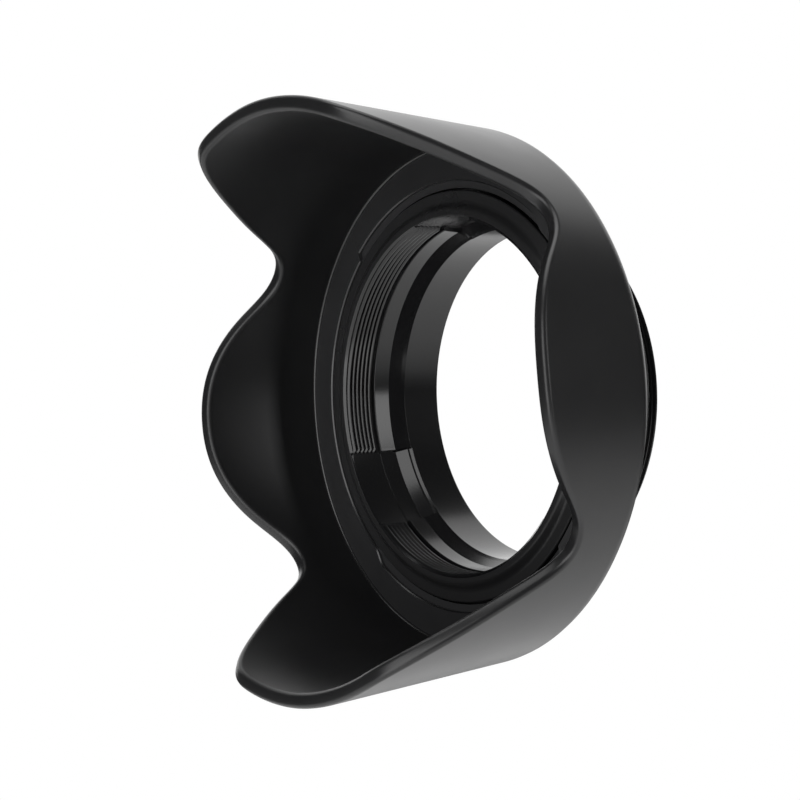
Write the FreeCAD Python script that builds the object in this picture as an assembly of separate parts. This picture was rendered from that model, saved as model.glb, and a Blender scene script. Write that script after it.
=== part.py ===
"""Screw-in petal lens hood: a petal shell that twist-locks onto a threaded mount ring.

Frame: the optical axis is Y. The mouth of the hood looks along -Y and the lens is on
the +Y side. +Z is up, through the middle of a long petal. The origin is on the axis, in
the plane of the mount ring's shoulder, which seats on the front rim of the lens.
Millimetres throughout.
"""
import FreeCAD
import Part
import math
import os
from FreeCAD import Vector

# Filter thread M52 x 0.75, the size both ends of the mount ring are made for
THREAD_MAJOR_R = 25.95
THREAD_MINOR_R = 25.6
MALE_THREAD_LENGTH = 4.0
THREAD_END_EDGE = 0.3
FEMALE_THREAD_LENGTH = 4.9
THREAD_GAPS = 3
THREAD_GAP_ANGLE = 27.6
THREAD_GAP_TURN = 2.0
THREAD_GAP_R = 26.05

# Mount ring, places measured along Y from the shoulder
RING_FRONT_Y = -12.8
RING_BORE_R = 24.2
BARREL_R = 27.5
FRONT_DISC_R = 29.7
FRONT_DISC_Y = -12.0
SHOULDER_R = 28.0
FLANGE_R = 30.6
FLANGE_FRONT_Y = -6.7
FLANGE_BACK_Y = -5.2
GROOVE_R = 26.1
GROOVE_LENGTH = 0.9
BAND_R = 25.3
BAND_LENGTH = 2.6
LEDGE_LENGTH = 1.3
RING_EDGE = 0.5
GRIP_FLUTES = 60
GRIP_FLUTE_R = 0.55
GRIP_FLUTE_DEPTH = 0.3
GRIP_END_LAND = 0.9

# Bayonet: two lugs on the ring, two rear tabs and two stop ribs in the shell, and the two
# shallow window recesses in the floor's lip that show where the lugs stand when locked
LUGS = 2
LUG_R = 30.8
LUG_HALF_ANGLE = 38.0
LUG_FRONT_Y = -10.35
LUG_BACK_Y = -8.75
TAB_INNER_R = 29.9
TAB_HALF_ANGLE = 41.0
TAB_FRONT_Y = -8.5
TAB_BACK_Y = -7.0
STOP_START_ANGLE = 39.0
STOP_END_ANGLE = 51.0
WINDOW_HALF_ANGLE = 41.0
WINDOW_BACK_Y = -11.5

# Petal shell
WALL = 2.2
OUTER_R_AT_RING_FRONT = 38.9
FLARE = 0.099
SHELL_BACK_Y = -9.3
SHELL_CORNER_R = 2.2
FLOOR_OUTER_Y = -10.6
FLOOR_INNER_Y = -12.1
FLOOR_FILLET_R = 0.6
LIP_R = 30.0
LIP_BACK_Y = -10.6
COLLAR_INNER_R = 31.1
COLLAR_OUTER_R = 33.0
COLLAR_BACK_Y = -5.2
COLLAR_EDGE = 0.4
RIM_ROUND_R = 0.75
RIM_KNOTS_PER_FACE = 4

# Petal rim over one quarter turn, from the middle of a long petal to the middle of a
# short one: (angle in degrees, height in front of the ring's front edge)
RIM_QUARTER = [
    (0, 30.3),
    (10, 30.1),
    (18, 29.9),
    (24, 29.2),
    (30, 26.2),
    (38, 19.85),
    (45, 13.3),
    (50.5, 8.15),
    (55, 6.8),
    (60, 7.6),
    (67, 11.2),
    (78, 15.45),
    (90, 16.75),
]
NOTCH_HEIGHT = min(height for angle, height in RIM_QUARTER)

# Extra reach that carries a cutting tool clear of the material it cuts
CLEAR = 5.0
# How far a fused feature is sunk into its neighbour
SINK = 0.6


def outer_radius(y):
    """Outside radius of the flared petal wall at a place along the axis."""
    return OUTER_R_AT_RING_FRONT + FLARE * (RING_FRONT_Y - y)


def revolved(points):
    """Solid of revolution about the Y axis, from (radius, y) corners in order."""
    corners = [Vector(r, y, 0) for r, y in points]
    face = Part.Face(Part.makePolygon(corners + corners[:1]))
    return face.revolve(Vector(0, 0, 0), Vector(0, 1, 0), 360)


def ring_sector(inner_r, outer_r, y0, y1, middle, half_angle):
    """Part of a ring between two radii and two planes, centred on an angle from +Z to +X."""
    start = math.radians(middle - half_angle)
    corners = [Vector(r * math.sin(start), y, r * math.cos(start))
               for r, y in ((inner_r, y0), (outer_r, y0), (outer_r, y1), (inner_r, y1))]
    face = Part.Face(Part.makePolygon(corners + corners[:1]))
    return face.revolve(Vector(0, 0, 0), Vector(0, 1, 0), 2 * half_angle)


def edges_at(shape, radius, y, tolerance=0.02):
    """Edges of a shape that lie wholly on the circle of this radius at this y."""
    found = []
    for edge in shape.Edges:
        ends = [edge.valueAt(edge.FirstParameter), edge.valueAt(edge.LastParameter)]
        middle = edge.valueAt((edge.FirstParameter + edge.LastParameter) / 2)
        if all(abs(math.hypot(p.x, p.z) - radius) < tolerance and abs(p.y - y) < tolerance
               for p in ends + [middle]):
            found.append(edge)
    return found


def rim_curve(radius):
    """Closed curve of the petal rim's heights at one radius from the axis."""
    quarter = RIM_QUARTER
    half = quarter + [(180 - a, h) for a, h in reversed(quarter[:-1])]
    whole = half + [(360 - a, h) for a, h in reversed(half[1:-1])]
    points = [Vector(radius * math.sin(math.radians(a)), RING_FRONT_Y - h,
                     radius * math.cos(math.radians(a))) for a, h in whole]
    curve = Part.BSplineCurve()
    curve.interpolate(Points=points, PeriodicFlag=True)
    knots = curve.getKnots()
    ends = knots[::RIM_KNOTS_PER_FACE]
    if ends[-1] < knots[-1]:
        ends.append(knots[-1])
    return [curve.toShape(a, b) for a, b in zip(ends, ends[1:])]


def shell_cup():
    """Flared cup with its floor, before the petals are cut."""
    tip_y = RING_FRONT_Y - RIM_QUARTER[0][1] - CLEAR
    cup = revolved([
        (outer_radius(tip_y), tip_y),
        (outer_radius(SHELL_BACK_Y), SHELL_BACK_Y),
        (COLLAR_OUTER_R, SHELL_BACK_Y),
        (COLLAR_OUTER_R, COLLAR_BACK_Y + COLLAR_EDGE),
        (COLLAR_OUTER_R - COLLAR_EDGE, COLLAR_BACK_Y),
        (COLLAR_INNER_R, COLLAR_BACK_Y),
        (COLLAR_INNER_R, LIP_BACK_Y),
        (LIP_R, LIP_BACK_Y),
        (LIP_R, FLOOR_INNER_Y),
        (outer_radius(FLOOR_OUTER_Y) - WALL, FLOOR_OUTER_Y),
        (outer_radius(tip_y) - WALL, tip_y),
    ])
    cup = cup.makeFillet(SHELL_CORNER_R, edges_at(cup, outer_radius(SHELL_BACK_Y), SHELL_BACK_Y))
    floor_corner = edges_at(cup, outer_radius(FLOOR_OUTER_Y) - WALL, FLOOR_OUTER_Y)
    return cup.makeFillet(FLOOR_FILLET_R, floor_corner)


def cut_petals(cup):
    """Keep the part of the cup behind the petal rim, and round the rim's two edges."""
    strips = [Part.makeRuledSurface(inner, outer) for inner, outer
              in zip(rim_curve(LIP_R), rim_curve(outer_radius(-60) + CLEAR))]
    curtain = Part.makeShell(strips)
    pieces = cup.generalFuse([curtain])[0].Solids
    petals = max(pieces, key=lambda piece: piece.CenterOfMass.y)
    rim_edges = []
    for edge in petals.Edges:
        middle = edge.valueAt((edge.FirstParameter + edge.LastParameter) / 2)
        on_rim = middle.y < RING_FRONT_Y - NOTCH_HEIGHT / 2
        if on_rim and edge.Length > 2 * WALL and type(edge.Curve).__name__ != "Line":
            rim_edges.append(edge)
    return petals.makeFillet(RIM_ROUND_R, rim_edges)


def petal_shell():
    """The hood's outer piece: petals, floor with two windows, collar, tabs and stops."""
    shell = cut_petals(shell_cup())
    for half_turn in (0, 180):
        window = ring_sector(LIP_R - CLEAR, COLLAR_INNER_R, FLOOR_INNER_Y - CLEAR,
                             WINDOW_BACK_Y, half_turn, WINDOW_HALF_ANGLE)
        tab = ring_sector(TAB_INNER_R, COLLAR_INNER_R + SINK, TAB_FRONT_Y, TAB_BACK_Y,
                          half_turn, TAB_HALF_ANGLE)
        stop_middle = (STOP_START_ANGLE + STOP_END_ANGLE) / 2
        stop = ring_sector(LIP_R, COLLAR_INNER_R + SINK, LIP_BACK_Y - SINK, LUG_BACK_Y,
                           half_turn - stop_middle, STOP_END_ANGLE - stop_middle)
        shell = shell.cut(window).fuse([tab, stop])
    return shell.removeSplitter()


def ring_blank():
    """Turned shape of the mount ring: barrel, disc, flange, shoulder, threads and bore."""
    thread_end = RING_FRONT_Y + FEMALE_THREAD_LENGTH
    groove_end = thread_end + GROOVE_LENGTH
    band_end = groove_end + BAND_LENGTH
    ledge_end = band_end + LEDGE_LENGTH
    return revolved([
        (THREAD_MINOR_R + RING_EDGE, RING_FRONT_Y),
        (BARREL_R - RING_EDGE, RING_FRONT_Y),
        (BARREL_R, RING_FRONT_Y + RING_EDGE),
        (BARREL_R, FRONT_DISC_Y),
        (FRONT_DISC_R, FRONT_DISC_Y),
        (FRONT_DISC_R, LUG_FRONT_Y),
        (BARREL_R, LUG_FRONT_Y),
        (BARREL_R, FLANGE_FRONT_Y),
        (FLANGE_R, FLANGE_FRONT_Y),
        (FLANGE_R, FLANGE_BACK_Y),
        (SHOULDER_R, FLANGE_BACK_Y),
        (SHOULDER_R, 0),
        (THREAD_MAJOR_R, 0),
        (THREAD_MAJOR_R, MALE_THREAD_LENGTH - THREAD_END_EDGE),
        (THREAD_MAJOR_R - THREAD_END_EDGE, MALE_THREAD_LENGTH),
        (RING_BORE_R + THREAD_END_EDGE, MALE_THREAD_LENGTH),
        (RING_BORE_R, MALE_THREAD_LENGTH - THREAD_END_EDGE),
        (RING_BORE_R, ledge_end),
        (BAND_R, band_end),
        (THREAD_MINOR_R, groove_end),
        (GROOVE_R, groove_end),
        (GROOVE_R, thread_end),
        (THREAD_MINOR_R, thread_end),
        (THREAD_MINOR_R, RING_FRONT_Y + RING_EDGE),
    ])


def grip_flute(angle):
    """Round-bottomed cutter for one finger-grip flute across the shoulder's outside."""
    centre_r = SHOULDER_R + GRIP_FLUTE_R - GRIP_FLUTE_DEPTH
    start = Vector(centre_r * math.sin(angle), FLANGE_BACK_Y + GRIP_END_LAND,
                   centre_r * math.cos(angle))
    length = -FLANGE_BACK_Y - 2 * GRIP_END_LAND
    return Part.makeCylinder(GRIP_FLUTE_R, length, start, Vector(0, 1, 0))


def mount_ring():
    """The hood's inner piece: it screws into the lens and carries the bayonet lugs."""
    ring = ring_blank()
    for lug in range(LUGS):
        ring = ring.fuse(ring_sector(BARREL_R - SINK, LUG_R, LUG_FRONT_Y, LUG_BACK_Y,
                                     lug * 360 / LUGS, LUG_HALF_ANGLE))
    gaps = [ring_sector(THREAD_MINOR_R - SINK, THREAD_GAP_R, RING_FRONT_Y - CLEAR,
                        RING_FRONT_Y + FEMALE_THREAD_LENGTH + GROOVE_LENGTH / 2,
                        THREAD_GAP_TURN + i * 360 / THREAD_GAPS, THREAD_GAP_ANGLE / 2)
            for i in range(THREAD_GAPS)]
    flutes = [grip_flute(2 * math.pi * i / GRIP_FLUTES) for i in range(GRIP_FLUTES)]
    return ring.cut(gaps + flutes).removeSplitter()


def main():
    """Write each piece of the hood to its own STEP file."""
    os.makedirs("parts", exist_ok=True)
    for name, make in (("petal_shell", petal_shell), ("mount_ring", mount_ring)):
        shape = make()
        solid = shape.Solids[0] if len(shape.Solids) == 1 else shape
        solid.exportStep("parts/" + name + ".step")
        box = solid.BoundBox
        print(name, "solids", len(shape.Solids), "valid", solid.isValid(),
              "volume", round(solid.Volume, 1), "box",
              [round(v, 2) for v in (box.XMin, box.YMin, box.ZMin, box.XMax, box.YMax, box.ZMax)])


main()
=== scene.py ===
import math

import bmesh
import bpy
import numpy as np
from mathutils import Matrix, Vector


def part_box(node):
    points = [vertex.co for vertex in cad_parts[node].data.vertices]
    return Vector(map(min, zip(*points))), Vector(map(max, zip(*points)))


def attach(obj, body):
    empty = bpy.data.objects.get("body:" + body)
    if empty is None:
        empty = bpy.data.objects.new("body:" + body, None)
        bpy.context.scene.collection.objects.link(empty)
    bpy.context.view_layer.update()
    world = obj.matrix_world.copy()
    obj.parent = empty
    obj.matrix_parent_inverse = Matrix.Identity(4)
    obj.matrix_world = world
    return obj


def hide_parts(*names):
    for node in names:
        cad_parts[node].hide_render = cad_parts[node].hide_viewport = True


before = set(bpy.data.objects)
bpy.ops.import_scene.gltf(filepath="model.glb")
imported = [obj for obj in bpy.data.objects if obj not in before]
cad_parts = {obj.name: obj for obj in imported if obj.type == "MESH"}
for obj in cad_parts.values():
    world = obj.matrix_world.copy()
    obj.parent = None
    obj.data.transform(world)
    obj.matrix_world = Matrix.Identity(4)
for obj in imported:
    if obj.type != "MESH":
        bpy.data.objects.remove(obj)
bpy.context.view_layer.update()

# ------------------------------------------------------------------ sizes, in metres
MM = 0.001
RING_LOW, RING_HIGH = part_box("mount_ring")
RING_FRONT = RING_LOW.y
RING_BACK = RING_HIGH.y
COLLAR_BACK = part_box("petal_shell")[1].y

# Filter thread M52 x 0.75 at both ends of the mount ring
PITCH = 0.75 * MM
FEMALE_MAJOR_R = 26.03 * MM
FEMALE_MINOR_R = 25.6 * MM
MALE_MAJOR_R = 25.93 * MM
MALE_MINOR_R = 25.5 * MM
THREAD_GAPS = 3
THREAD_GAP_ANGLE = 27.6
THREAD_GAP_TURN = 2.0
THREAD_GAP_EDGE = 0.5
FEMALE_THREAD_LENGTH = 4.9 * MM
FEMALE_RIDGE_START = 0.31 * MM
FEMALE_RIDGE_END_GAP = 0.1 * MM
FEMALE_RUN_OUT = math.radians(0.8)
MALE_RIDGE_START = 0.45 * MM
MALE_RIDGE_END_GAP = 0.35 * MM
MALE_PHASE = math.radians(150)
MALE_RUN_OUT = math.radians(40)

# Mount ring
BORE_R = 24.2 * MM
BARREL_R = 27.5 * MM
SHOULDER_R = 28.0 * MM
FLANGE_R = RING_HIGH.x
FLANGE_FRONT = -6.7 * MM
FLANGE_BACK = -5.2 * MM
GRIP_FLUTES = 60
GRIP_DEPTH = 0.3 * MM
GRIP_FLUTE_SHARE = 0.55
GRIP_RUN_OUT = (0.8 * MM, 1.1 * MM)      # from each end of the shoulder: start, full depth
LUG_R = RING_HIGH.z
LUG_HALF_ANGLE = 38.0
LUG_FRONT = -10.35 * MM
LUG_BACK = -8.75 * MM
DISC_R = 29.7 * MM
DISC_FRONT = -12.0 * MM
STEP_HALF_WIDTH = 0.45 * MM
GROOVE_END = RING_FRONT + 5.5 * MM
MOUTH_EDGE_R = 26.08 * MM
LEAD_IN_START = 0.32 * MM
LEAD_IN_END = 0.45 * MM

# Radii that differ between the threaded lengths and the gaps, in millimetres and that order
MOUTH_R = (26.14, 26.1)
LEAD_IN_R = (25.82, 26.04)
GROOVE_LEDGE_R = (25.5, 25.95)

# Bore of the mount ring from the back forwards, in millimetres: radius and place in the
# threaded lengths, radius and place in the gaps, and the round at the corner
BORE_STEPS = [
    (24.2, -2.5, 24.2, -2.3, 0.1),
    (24.4, -2.88, 24.6, -2.6, 0),
    (24.55, -3.17, 24.6, -2.95, 0),
    (25.25, -4.75, 25.95, -4.28, 0.08),
]

# Petal shell
WALL = 2.2 * MM
OUTER_R_AT_RING_FRONT = 38.893 * MM
FLARE = 0.099
SHELL_BACK = -9.3 * MM
SHELL_CORNER_R = 2.2 * MM
FLOOR_OUTER = -10.6 * MM
FLOOR_INNER = -12.1 * MM
FLOOR_CORNER_ROUND = 0.4 * MM
FLOOR_CORNER_R = OUTER_R_AT_RING_FRONT + FLARE * (RING_FRONT - FLOOR_OUTER) - WALL
LIP_R = 30.0 * MM
LIP_BACK = -10.6 * MM
COLLAR_INNER_R = 31.1 * MM
COLLAR_OUTER_R = 33.0 * MM
WINDOW_R = COLLAR_INNER_R - 0.04 * MM
WINDOW_BACK = -11.5 * MM
WINDOW_RISE = 0.25 * MM
WINDOW_SLOPE = (40.0, 6.5)        # start and run of the sloped end, in degrees
WINDOW_STEEP_END = (40.5, 1.6)    # start and run of the steep end, in degrees
TAB_HALF_ANGLE = 41.0
TAB_INNER_R = 29.9 * MM
TAB_FRONT = -8.5 * MM
TAB_BACK = -7.0 * MM
STOP_START_ANGLE = 39.0
STOP_END_ANGLE = 51.0
RIM_ROUND = 0.75 * MM
RIM_STEPS = 6
RIM_MOST_LEAN = 1.8

# How far a lug, tab or rib is sunk into its neighbour, and the edge round of each
SINK = 0.6 * MM
BLOCK_EDGE = 0.15 * MM

# Petal rim over one quarter turn from the middle of a long petal, as the hood's design
# gives it: (angle in degrees, height in front of the ring's front edge in millimetres)
RIM_QUARTER = [
    (0, 30.3),
    (10, 30.1),
    (18, 29.9),
    (24, 29.2),
    (30, 26.2),
    (38, 19.85),
    (45, 13.3),
    (50.5, 8.15),
    (55, 6.8),
    (60, 7.6),
    (67, 11.2),
    (78, 15.45),
    (90, 16.75),
]


# ------------------------------------------------------------------ profiles
def outer_radius(y):
    """Outside radius of the flared petal wall at a place along the axis."""
    return OUTER_R_AT_RING_FRONT + FLARE * (RING_FRONT - y)


def periodic_spline(angles, values):
    """Smooth closed curve through (angle, value) points: returns its value and slope."""
    a = np.radians(np.array(angles, float))
    v = np.array(values, float)
    n = len(a)
    h = np.diff(np.append(a, a[0] + 2 * math.pi))
    rise = np.diff(np.append(v, v[0])) / h
    system = np.zeros((n, n))
    for i in range(n):
        system[i, i - 1] = h[i]
        system[i, i] = 2 * (h[i - 1] + h[i])
        system[i, (i + 1) % n] = h[i - 1]
    side = np.array([3 * (h[i] * rise[i - 1] + h[i - 1] * rise[i]) for i in range(n)])
    slope = np.linalg.solve(system, side)

    def at(angle):
        t = angle % (2 * math.pi)
        i = int(np.searchsorted(a, t, side="right")) - 1
        j = (i + 1) % n
        u = (t - a[i]) / h[i]
        c2 = (3 * rise[i] - 2 * slope[i] - slope[j]) * h[i]
        c3 = (slope[i] + slope[j] - 2 * rise[i]) * h[i]
        value = v[i] + u * (slope[i] * h[i] + u * (c2 + u * c3))
        return value, slope[i] + (2 * c2 * u + 3 * c3 * u * u) / h[i]

    return at


def whole_rim():
    """The petal rim's curve over the full turn, from its one quarter."""
    half = RIM_QUARTER + [(180 - a, h) for a, h in reversed(RIM_QUARTER[:-1])]
    whole = half + [(360 - a, h) for a, h in reversed(half[1:-1])]
    return periodic_spline([a for a, _ in whole], [h * MM for _, h in whole])


def rounded(corners, steps=5):
    """Closed profile from (radius, y, round) corners, each round one turned into an arc
    with a point close outside each of its ends, which keeps the flats shading flat."""
    out = []
    n = len(corners)
    for i, (r, y, rho) in enumerate(corners):
        here = Vector((r, y))
        if rho <= 0:
            out.append(here)
            continue
        before = Vector(corners[i - 1][:2]) - here
        after = Vector(corners[(i + 1) % n][:2]) - here
        half = before.angle(after) / 2
        reach = rho / math.tan(half)
        limit = 0.45 * min(before.length, after.length)
        if reach > limit:
            rho *= limit / reach
            reach = limit
        before.normalize()
        after.normalize()
        centre = here + (before + after).normalized() * rho / math.sin(half)
        start = here + before * reach - centre
        turn = start.angle_signed(here + after * reach - centre)
        out.append(here + before * (reach * 1.12))
        for k in range(steps + 1):
            out.append(centre + Matrix.Rotation(-turn * k / steps, 2) @ start)
        out.append(here + after * (reach * 1.12))
    return out


def stretch(a, b, count):
    """Points between two profile points, without the ends."""
    return [Vector(a).lerp(Vector(b), (k + 1) / (count + 1)) for k in range(count)]


# ------------------------------------------------------------------ mesh helpers
LATHE_SEGMENTS = 720
SECTOR_EASE = 0.25 * MM
SECTOR_DRAW_IN = 0.16
RIDGE_SINK = 0.06 * MM
RIDGE_HALF_ROOT = PITCH * 0.4375
RIDGE_HALF_CREST = PITCH * 0.07
RIDGE_HALF_SHOULDER = RIDGE_HALF_CREST * 1.7
RIDGE_SHOULDER = 0.12
RIDGE_STEP = 0.8
SHARP_ANGLE = 32


def place(r, y, angle):
    """Point at a radius and a place along the axis; angle runs from +Z towards +X."""
    return Vector((r * math.sin(angle), y, r * math.cos(angle)))


def lathe(bm, profile_at, material_at):
    """Closed ring-shaped surface whose profile may change with the angle."""
    rings = []
    for i in range(LATHE_SEGMENTS):
        angle = 2 * math.pi * i / LATHE_SEGMENTS
        rings.append([bm.verts.new(place(p[0], p[1], angle)) for p in profile_at(angle)])
    count = len(rings[0])
    for i in range(LATHE_SEGMENTS):
        a, b = rings[i], rings[(i + 1) % LATHE_SEGMENTS]
        for k in range(count):
            m = (k + 1) % count
            face = bm.faces.new((a[k], a[m], b[m], b[k]))
            face.smooth = True
            face.material_index = material_at(k)


def sector(bm, profile, start, end, segments, material=0):
    """Closed block that runs round the axis between two angles, drawn in at its two ends."""
    middle = sum((Vector(p) for p in profile), Vector((0, 0))) / len(profile)
    angles = []
    ease = SECTOR_EASE / middle.x
    for k in range(4):
        t = k / 3 * math.pi / 2
        angles.append((start + ease * (1 - math.cos(t)),
                       1 - SECTOR_DRAW_IN * (1 - math.sin(t))))
    inside = [(start + ease + (end - start - 2 * ease) * k / segments, 1.0)
              for k in range(segments + 1)]
    closing = [(start + end - a, s) for a, s in reversed(angles)]
    stations = angles + inside[1:-1] + closing
    rings = []
    for angle, scale in stations:
        ring = []
        for p in profile:
            q = middle + (Vector(p) - middle) * scale
            ring.append(bm.verts.new(place(q.x, q.y, angle)))
        rings.append(ring)
    count = len(profile)
    for a, b in zip(rings, rings[1:]):
        for k in range(count):
            m = (k + 1) % count
            face = bm.faces.new((a[k], a[m], b[m], b[k]))
            face.smooth = True
            face.material_index = material
    for ring in (rings[0], rings[-1]):
        cap = bm.faces.new(ring)
        cap.material_index = material


def thread_turns(bm, base_r, crest_r, y0, y1, start, end, phase, taper):
    """Ridges of a right-hand thread between two angles, sunk a little into the wall."""
    sunk_r = base_r + RIDGE_SINK * (1 if base_r > crest_r else -1)
    shoulder = crest_r + (base_r - crest_r) * RIDGE_SHOULDER
    half = [(crest_r, RIDGE_HALF_CREST), (shoulder, RIDGE_HALF_SHOULDER),
            (base_r, RIDGE_HALF_ROOT), (sunk_r, RIDGE_HALF_ROOT)]
    section = [(r, -y) for r, y in reversed(half)] + half
    steps = max(8, int(math.degrees(end - start) / RIDGE_STEP))
    first = int(math.floor((y0 - y1) / PITCH)) - 1
    last = int(math.ceil((y1 - y0) / PITCH)) + 1
    for turn in range(first, last):
        stations = []
        for k in range(steps + 1):
            angle = start + (end - start) * k / steps
            y = y0 + (turn + (angle + phase) / (2 * math.pi)) * PITCH
            if y0 <= y <= y1:
                stations.append((angle, y))
        if len(stations) >= 4:
            ridge(bm, stations, section, base_r, sunk_r, taper)


def ridge(bm, stations, section, base_r, sunk_r, taper):
    """One closed ridge along its stations, its height brought down to nothing at its ends."""
    rings = []
    length = stations[-1][0] - stations[0][0]
    taper = min(taper, length / 3)
    for angle, y in stations:
        near = min(angle - stations[0][0], stations[-1][0] - angle)
        height = math.sin(min(1.0, near / taper) * math.pi / 2)
        ring = []
        for r, dy in section:
            scaled = sunk_r if r == sunk_r else base_r + (r - base_r) * height
            ring.append(bm.verts.new(place(scaled, y + dy, angle)))
        rings.append(ring)
    count = len(section)
    for a, b in zip(rings, rings[1:]):
        for k in range(count):
            m = (k + 1) % count
            bm.faces.new((a[k], a[m], b[m], b[k])).smooth = True
    bm.faces.new(rings[0])
    bm.faces.new(rings[-1])


def finish_mesh(bm, name, materials):
    """Mesh object from a bmesh, its faces turned outwards and its hard edges kept hard."""
    bmesh.ops.recalc_face_normals(bm, faces=bm.faces)
    mesh = bpy.data.meshes.new(name)
    bm.to_mesh(mesh)
    bm.free()
    for material in materials:
        mesh.materials.append(material)
    mesh.set_sharp_from_angle(angle=math.radians(SHARP_ANGLE))
    piece = bpy.data.objects.new(name, mesh)
    bpy.context.scene.collection.objects.link(piece)
    return piece


# ------------------------------------------------------------------ petal shell
def smooth_step(x):
    """0 below 0, 1 above 1 and smooth between."""
    x = min(max(x, 0.0), 1.0)
    return x * x * (3 - 2 * x)


def opening_radius(angle):
    """Radius of the opening's front edge: large in the two window recesses, small at the
    sides. Each window runs out steeply at one end and on a slope at the other."""
    from_window = (math.degrees(angle) + 90) % 180 - 90
    start, run = WINDOW_SLOPE if from_window > 0 else WINDOW_STEEP_END
    blend = smooth_step((abs(from_window) - start) / run)
    return WINDOW_R + (LIP_R - WINDOW_R) * blend


def recess_floor(angle):
    """Place along the axis of the windows' floor, which comes forward a little at the sides."""
    share = (opening_radius(angle) - LIP_R) / (COLLAR_INNER_R - LIP_R)
    return WINDOW_BACK - WINDOW_RISE * (1 - smooth_step(share * 3))


def shell_profile(rim):
    """The petal shell's profile at an angle, the same number of points at each."""
    def at(angle):
        height, slope = rim(angle)
        tip = RING_FRONT - height
        radius = outer_radius(tip)
        lean = math.hypot(1.0, slope / radius)
        rise = RIM_ROUND * min(lean, RIM_MOST_LEAN)
        points = []
        for k in range(RIM_STEPS + 1):
            t = math.pi / 2 * k / RIM_STEPS
            y = tip + rise * (1 - math.cos(t))
            points.append(Vector((outer_radius(y) - RIM_ROUND * (1 - math.sin(t)), y)))
        wall_start = Vector((outer_radius(tip + rise * 1.2), tip + rise * 1.2))
        points.append(wall_start)
        body = rounded([
            (wall_start.x, wall_start.y, 0),
            (outer_radius(SHELL_BACK), SHELL_BACK, SHELL_CORNER_R),
            (COLLAR_OUTER_R, SHELL_BACK, 0.5 * MM),
            (COLLAR_OUTER_R, COLLAR_BACK, 0.4 * MM),
            (COLLAR_INNER_R, COLLAR_BACK, 0.25 * MM),
            (COLLAR_INNER_R, LIP_BACK, 0),
            (LIP_R, LIP_BACK, 0.08 * MM),
            (LIP_R, recess_floor(angle), 0.08 * MM),
            (opening_radius(angle) + 0.02 * MM, recess_floor(angle) - 0.01 * MM, 0),
            (opening_radius(angle), FLOOR_INNER + 0.14 * MM, 0.02 * MM),
            (opening_radius(angle) + 0.16 * MM, FLOOR_INNER - 0.03 * MM, 0.02 * MM),
            (FLOOR_CORNER_R, FLOOR_OUTER, FLOOR_CORNER_ROUND),
            (wall_start.x - WALL, wall_start.y, 0),
        ], steps=6)
        outer_run = stretch(wall_start, body[1], 10)
        inner_run = stretch(body[-2], body[-1], 10)
        points += outer_run + body[1:-1] + inner_run + [body[-1]]
        for k in range(RIM_STEPS + 1):
            t = math.pi / 2 * (1 - k / RIM_STEPS)
            y = tip + rise * (1 - math.cos(t))
            points.append(Vector((outer_radius(y) - WALL + RIM_ROUND * (1 - math.sin(t)), y)))
        return points
    return at


def block_profile(inner_r, outer_r, front, back):
    """Rectangle in the profile plane with eased corners."""
    return rounded([(inner_r, front, BLOCK_EDGE), (outer_r, front, BLOCK_EDGE),
                    (outer_r, back, BLOCK_EDGE), (inner_r, back, BLOCK_EDGE)], steps=3)


def make_petal_shell(outside, inside, edge_gloss, floor_with_painted_light):
    """The hood's outer moulding with its window recesses, rear tabs and stop ribs."""
    bm = bmesh.new()
    profile = shell_profile(whole_rim())
    sample = profile(0.0)
    lip_from = next(k for k, p in enumerate(sample)
                    if p.x < LIP_R + 2 * MM and LIP_BACK - 0.1 * MM > p.y > FLOOR_INNER - MM)
    rim_from = len(sample) - RIM_STEPS + 2

    def finish_at(k):
        """Satin outside and on the rim; inside, a matte wall, a floor painted paler than the
        wall as painted light for the light that reaches it past the petals' shade, and the two
        polished edges of the floor."""
        middle = (sample[k] + sample[(k + 1) % len(sample)]) / 2
        at_lip = abs(middle.x - LIP_R) < 1.5 * MM and abs(middle.y - FLOOR_INNER) < 0.3 * MM
        from_corner = (middle - Vector((FLOOR_CORNER_R, FLOOR_OUTER))).length
        if not lip_from <= k < rim_from:
            return 0
        if at_lip or from_corner < FLOOR_CORNER_ROUND * 1.05:
            return 2
        on_floor = LIP_R < middle.x < FLOOR_CORNER_R
        return 3 if on_floor and FLOOR_INNER - 0.2 * MM < middle.y < LIP_BACK else 1

    lathe(bm, profile, finish_at)
    tab = block_profile(TAB_INNER_R, COLLAR_INNER_R + SINK, TAB_FRONT, TAB_BACK)
    stop = block_profile(LIP_R, COLLAR_INNER_R + SINK, LIP_BACK - SINK, LUG_BACK)
    half = math.radians(TAB_HALF_ANGLE)
    for turn in (0, math.pi):
        sector(bm, tab, turn - half, turn + half, 120, material=1)
        sector(bm, stop, turn - math.radians(STOP_END_ANGLE),
               turn - math.radians(STOP_START_ANGLE), 24, material=1)
    shell = finish_mesh(bm, "petal_shell_moulding", [outside, inside, edge_gloss, floor_with_painted_light])
    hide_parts("petal_shell")
    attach(shell, "hood")
    return shell


# ------------------------------------------------------------------ mount ring
def gap_share(angle):
    """1 in the thread-free gaps of the ring, 0 in its threaded lengths, quick between."""
    spacing = 360 / THREAD_GAPS
    off = abs((math.degrees(angle) - THREAD_GAP_TURN + spacing / 2) % spacing - spacing / 2)
    return 1 - smooth_step((off - THREAD_GAP_ANGLE / 2) / THREAD_GAP_EDGE + 0.5)


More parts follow.
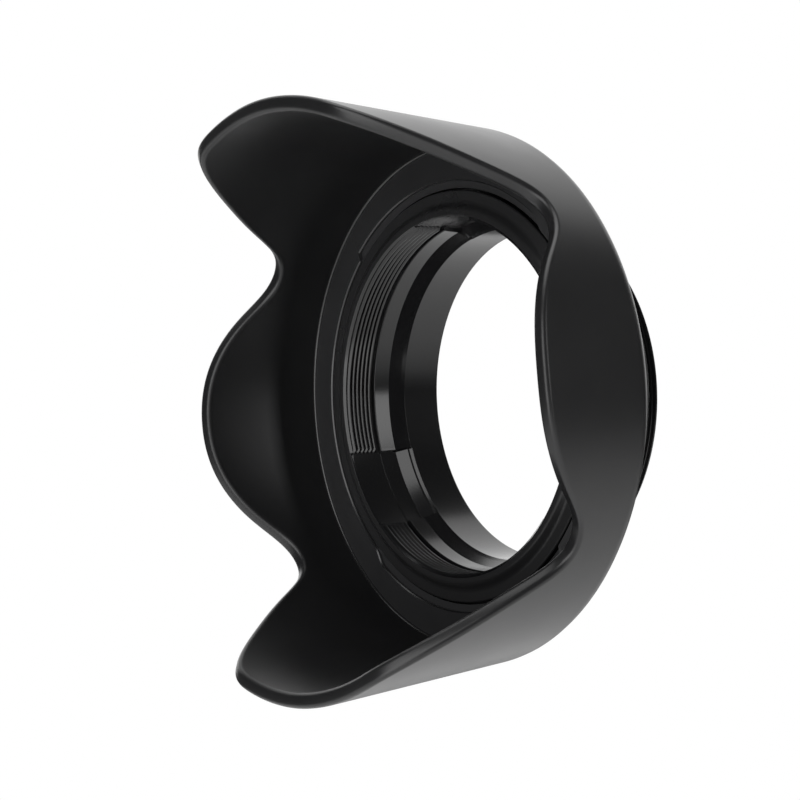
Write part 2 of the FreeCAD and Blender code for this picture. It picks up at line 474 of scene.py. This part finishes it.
def ring_profile(angle):
    """The mount ring's profile at an angle: the bore's steps differ in the gaps, and the
    shoulder has its grip flutes."""
    gap = gap_share(angle)

    def mix(threaded, clear):
        return (threaded + (clear - threaded) * gap) * MM

    flute = abs(math.sin(angle * GRIP_FLUTES / 2))
    grip = SHOULDER_R - GRIP_DEPTH * max(0.0, 1 - (flute / GRIP_FLUTE_SHARE) ** 2)
    grip_start, grip_full = GRIP_RUN_OUT
    bore = [(mix(r, gap_r), mix(y, gap_y), edge * MM) for r, y, gap_r, gap_y, edge in BORE_STEPS]
    return rounded([
        (mix(*MOUTH_R), RING_FRONT, 0.06 * MM),
        (BARREL_R - STEP_HALF_WIDTH, RING_FRONT, 2 * STEP_HALF_WIDTH),
        (BARREL_R + STEP_HALF_WIDTH, DISC_FRONT, 2 * STEP_HALF_WIDTH),
        (DISC_R, DISC_FRONT, 0.2 * MM),
        (DISC_R, LUG_FRONT, 0.15 * MM),
        (BARREL_R, LUG_FRONT, 0),
        (BARREL_R, FLANGE_FRONT, 0.2 * MM),
        (FLANGE_R, FLANGE_FRONT, 0.3 * MM),
        (FLANGE_R, FLANGE_BACK, 0.3 * MM),
        (SHOULDER_R, FLANGE_BACK, 0),
        (SHOULDER_R, FLANGE_BACK + grip_start, 0),
        (grip, FLANGE_BACK + grip_full, 0),
        (grip, -grip_full, 0),
        (SHOULDER_R, -grip_start, 0),
        (SHOULDER_R, 0, 0.2 * MM),
        (MALE_MINOR_R, 0, 0),
        (MALE_MINOR_R, RING_BACK, 0.25 * MM),
        (BORE_R, RING_BACK, 0.25 * MM),
    ] + bore + [
        (mix(*GROOVE_LEDGE_R), GROOVE_END, 0.12 * MM),
        (FEMALE_MAJOR_R, GROOVE_END, 0),
        (FEMALE_MAJOR_R, RING_FRONT + FEMALE_THREAD_LENGTH, 0),
        (FEMALE_MAJOR_R, RING_FRONT + LEAD_IN_END, 0),
        (mix(*LEAD_IN_R), RING_FRONT + LEAD_IN_START, 0),
    ], steps=4)


def make_mount_ring(gloss, front_faces_painted_light):
    """The hood's inner moulding with both threads, its lugs, flange and grip flutes."""
    bm = bmesh.new()
    sample = ring_profile(math.pi / 2)

    def finish_at(k):
        """Satin painted paler on the front faces, as painted light lifting them out of the
        petals' shade; gloss everywhere else.
        """
        p, q = sample[k], sample[(k + 1) % len(sample)]
        in_front = max(p.y, q.y) < LUG_FRONT - 0.2 * MM
        return 1 if in_front and min(p.x, q.x) > MOUTH_EDGE_R else 0

    lathe(bm, ring_profile, finish_at)
    lug = block_profile(BARREL_R - SINK, LUG_R, LUG_FRONT, LUG_BACK)
    half = math.radians(LUG_HALF_ANGLE)
    for turn in (0, math.pi):
        sector(bm, lug, turn - half, turn + half, 120)
    spacing = 360 / THREAD_GAPS
    for i in range(THREAD_GAPS):
        start = THREAD_GAP_TURN + i * spacing + THREAD_GAP_ANGLE / 2
        end = THREAD_GAP_TURN + (i + 1) * spacing - THREAD_GAP_ANGLE / 2
        thread_turns(bm, FEMALE_MAJOR_R, FEMALE_MINOR_R, RING_FRONT + FEMALE_RIDGE_START,
                     RING_FRONT + FEMALE_THREAD_LENGTH - FEMALE_RIDGE_END_GAP,
                     math.radians(start), math.radians(end), 0.0, FEMALE_RUN_OUT)
    thread_turns(bm, MALE_MINOR_R, MALE_MAJOR_R, MALE_RIDGE_START,
                 RING_BACK - MALE_RIDGE_END_GAP, 0.0, 2 * math.pi, MALE_PHASE, MALE_RUN_OUT)
    ring = finish_mesh(bm, "mount_ring_moulding", [gloss, front_faces_painted_light])
    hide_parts("mount_ring")
    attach(ring, "mount")
    return ring


# ------------------------------------------------------------------ materials
FLOW_SCALE = 90.0
SMEAR_SCALE = 35.0
NOISE_LOW = 0.3
NOISE_HIGH = 0.7


def node(tree, kind, x, y, **inputs):
    """A shader node with its sockets set by name."""
    made = tree.nodes.new(kind)
    made.location = (x, y)
    for name, value in inputs.items():
        made.inputs[name].default_value = value
    return made


def moulded_plastic(name, dark, light, rough_low, rough_high, grain_mm, grain_depth, specular):
    """Moulded plastic: fine spark-eroded grain, faint flow mottling and uneven sheen."""
    material = bpy.data.materials.new(name)
    material.use_nodes = True
    tree = material.node_tree
    shader = tree.nodes["Principled BSDF"]
    shader.inputs["Specular IOR Level"].default_value = specular
    where = tree.nodes.new("ShaderNodeTexCoord")
    flow = node(tree, "ShaderNodeTexNoise", -800, 200, Scale=FLOW_SCALE, Detail=3.0,
                Roughness=0.5)
    grain = node(tree, "ShaderNodeTexNoise", -800, -100, Scale=1000.0 / grain_mm, Detail=2.0,
                 Roughness=0.6)
    smear = node(tree, "ShaderNodeTexNoise", -800, -400, Scale=SMEAR_SCALE, Detail=4.0,
                 Roughness=0.6)
    for texture in (flow, grain, smear):
        tree.links.new(where.outputs["Object"], texture.inputs["Vector"])
    colour = tree.nodes.new("ShaderNodeValToRGB")
    colour.color_ramp.elements[0].position = NOISE_LOW
    colour.color_ramp.elements[0].color = dark + (1,)
    colour.color_ramp.elements[1].position = NOISE_HIGH
    colour.color_ramp.elements[1].color = light + (1,)
    tree.links.new(flow.outputs["Fac"], colour.inputs["Fac"])
    tree.links.new(colour.outputs["Color"], shader.inputs["Base Color"])
    rough = node(tree, "ShaderNodeMapRange", -400, -300)
    rough.inputs["From Min"].default_value = NOISE_LOW
    rough.inputs["From Max"].default_value = NOISE_HIGH
    rough.inputs["To Min"].default_value = rough_low
    rough.inputs["To Max"].default_value = rough_high
    tree.links.new(smear.outputs["Fac"], rough.inputs["Value"])
    tree.links.new(rough.outputs["Result"], shader.inputs["Roughness"])
    bump = node(tree, "ShaderNodeBump", -400, -550)
    bump.inputs["Strength"].default_value = 1.0
    bump.inputs["Distance"].default_value = grain_depth * MM
    tree.links.new(grain.outputs["Fac"], bump.inputs["Height"])
    tree.links.new(bump.outputs["Normal"], shader.inputs["Normal"])
    return material


def plain(name, colour, roughness):
    """Even material for the studio floor."""
    material = bpy.data.materials.new(name)
    material.use_nodes = True
    shader = material.node_tree.nodes["Principled BSDF"]
    shader.inputs["Base Color"].default_value = colour + (1,)
    shader.inputs["Roughness"].default_value = roughness
    return material


# ------------------------------------------------------------------ studio
CAMERA_AZIMUTH = 52.41
CAMERA_ELEVATION = -3.2
CAMERA_ROLL = 4.4
CAMERA_DISTANCE = 360 * MM
CAMERA_AIM = Vector((-4.48, -18.54, 0.09)) * MM
CAMERA_LENS = 112.5
LIGHT_TARGET = Vector((0, -0.02, 0))
FLOOR_HALF_WIDTH = 2.2
FLOOR_HEIGHT = -0.45
WORLD_ON_OBJECT = 0.07


def direction(azimuth, elevation):
    """Unit vector from the object towards a place round it, as the views count angles."""
    a, e = math.radians(azimuth), math.radians(elevation)
    return Vector((math.sin(a) * math.cos(e), -math.cos(a) * math.cos(e), math.sin(e)))


def make_camera():
    """Long-lens camera at the photograph's angle."""
    data = bpy.data.cameras.new("camera")
    data.lens = CAMERA_LENS
    data.clip_start = 0.01
    camera = bpy.data.objects.new("camera", data)
    back = direction(CAMERA_AZIMUTH, CAMERA_ELEVATION)
    level = (-back).to_track_quat("-Z", "Y")
    roll = Matrix.Rotation(math.radians(-CAMERA_ROLL), 4, "Z")
    camera.matrix_world = (Matrix.Translation(CAMERA_AIM + back * CAMERA_DISTANCE)
                           @ level.to_matrix().to_4x4() @ roll)
    bpy.context.scene.collection.objects.link(camera)
    bpy.context.scene.camera = camera


def softbox(name, azimuth, elevation, distance, width, height, power, facing_down=False):
    """Rectangular light that faces the object, or the floor, and isn't seen by the camera."""
    data = bpy.data.lights.new(name, "AREA")
    data.shape = "RECTANGLE"
    data.size = width
    data.size_y = height
    data.energy = power
    light = bpy.data.objects.new(name, data)
    towards = direction(azimuth, elevation)
    light.location = LIGHT_TARGET + towards * distance
    light.rotation_mode = "QUATERNION"
    aim = towards if facing_down else -towards
    light.rotation_quaternion = aim.to_track_quat("-Z", "Y")
    light.visible_camera = False
    bpy.context.scene.collection.objects.link(light)
    return light


def make_floor():
    """Large pale floor well below the hood."""
    bm = bmesh.new()
    bmesh.ops.create_grid(bm, x_segments=8, y_segments=8, size=FLOOR_HALF_WIDTH)
    mesh = bpy.data.meshes.new("floor")
    bm.to_mesh(mesh)
    bm.free()
    mesh.materials.append(plain("floor_white", (0.9, 0.9, 0.9), 0.8))
    floor = bpy.data.objects.new("floor", mesh)
    floor.location = (0, 0, FLOOR_HEIGHT)
    bpy.context.scene.collection.objects.link(floor)


def make_world():
    """White to the camera, dim to the object, as a tent with the lamps off."""
    world = bpy.data.worlds.new("studio")
    bpy.context.scene.world = world
    world.use_nodes = True
    tree = world.node_tree
    tree.nodes.clear()
    path = tree.nodes.new("ShaderNodeLightPath")
    seen = tree.nodes.new("ShaderNodeBackground")
    seen.inputs["Color"].default_value = (1, 1, 1, 1)
    seen.inputs["Strength"].default_value = 1.0
    felt = tree.nodes.new("ShaderNodeBackground")
    felt.inputs["Color"].default_value = (1, 1, 1, 1)
    felt.inputs["Strength"].default_value = WORLD_ON_OBJECT
    mix = tree.nodes.new("ShaderNodeMixShader")
    out = tree.nodes.new("ShaderNodeOutputWorld")
    tree.links.new(path.outputs["Is Camera Ray"], mix.inputs["Fac"])
    tree.links.new(felt.outputs["Background"], mix.inputs[1])
    tree.links.new(seen.outputs["Background"], mix.inputs[2])
    tree.links.new(mix.outputs["Shader"], out.inputs["Surface"])


def make_studio():
    """Floor, world, lamps and camera."""
    bpy.context.scene.view_settings.view_transform = "Standard"
    make_floor()
    make_world()
    softbox("top_light", azimuth=0, elevation=90, distance=1.3,
            width=1.1, height=1.1, power=9)
    softbox("floor_wash", azimuth=0, elevation=-90, distance=0.12,
            width=2.4, height=2.4, power=8.2, facing_down=True)
    softbox("back_light", azimuth=227, elevation=30, distance=1.4,
            width=2.6, height=1.62, power=18)
    softbox("front_light", azimuth=26, elevation=9, distance=1.0,
            width=0.75, height=1.2, power=7.6)
    softbox("side_light", azimuth=116, elevation=11, distance=0.8,
            width=0.15, height=0.52, power=0.9)
    make_camera()


# ------------------------------------------------------------------ the hood
shell_outside = moulded_plastic(
    "shell_outside_satin", dark=(0.009, 0.009, 0.0096), light=(0.012, 0.012, 0.0126),
    rough_low=0.30, rough_high=0.36, grain_mm=0.16, grain_depth=0.0035, specular=0.5)
shell_inside = moulded_plastic(
    "shell_inside_matte", dark=(0.006, 0.006, 0.0065), light=(0.008, 0.008, 0.0085),
    rough_low=0.37, rough_high=0.43, grain_mm=0.14, grain_depth=0.005, specular=0.39)
shell_edges = moulded_plastic(
    "shell_edges_polished", dark=(0.007, 0.007, 0.0075), light=(0.009, 0.009, 0.0095),
    rough_low=0.2, rough_high=0.26, grain_mm=0.3, grain_depth=0.001, specular=0.6)
# Floor of the shell: the same black plastic painted paler, as painted light standing in for the
# light it gets past the petals' shade
floor_plastic_painted_light = moulded_plastic(
    "paler_floor_painted_light", dark=(0.021, 0.021, 0.022), light=(0.025, 0.025, 0.026),
    rough_low=0.46, rough_high=0.54, grain_mm=0.14, grain_depth=0.006, specular=0.45)
# Front faces of the ring: the ring's black plastic painted paler, as painted light standing in
# for the light they get past the petals' shade
ring_front_plastic_painted_light = moulded_plastic(
    "ring_front_painted_light", dark=(0.014, 0.014, 0.0146), light=(0.016, 0.016, 0.0166),
    rough_low=0.26, rough_high=0.34, grain_mm=0.3, grain_depth=0.002, specular=0.5)
ring_gloss = moulded_plastic(
    "ring_gloss_black", dark=(0.006, 0.006, 0.0065), light=(0.008, 0.008, 0.0085),
    rough_low=0.14, rough_high=0.2, grain_mm=0.3, grain_depth=0.0012, specular=0.5)
make_petal_shell(shell_outside, shell_inside, shell_edges, floor_plastic_painted_light)
make_mount_ring(ring_gloss, ring_front_plastic_painted_light)
make_studio()
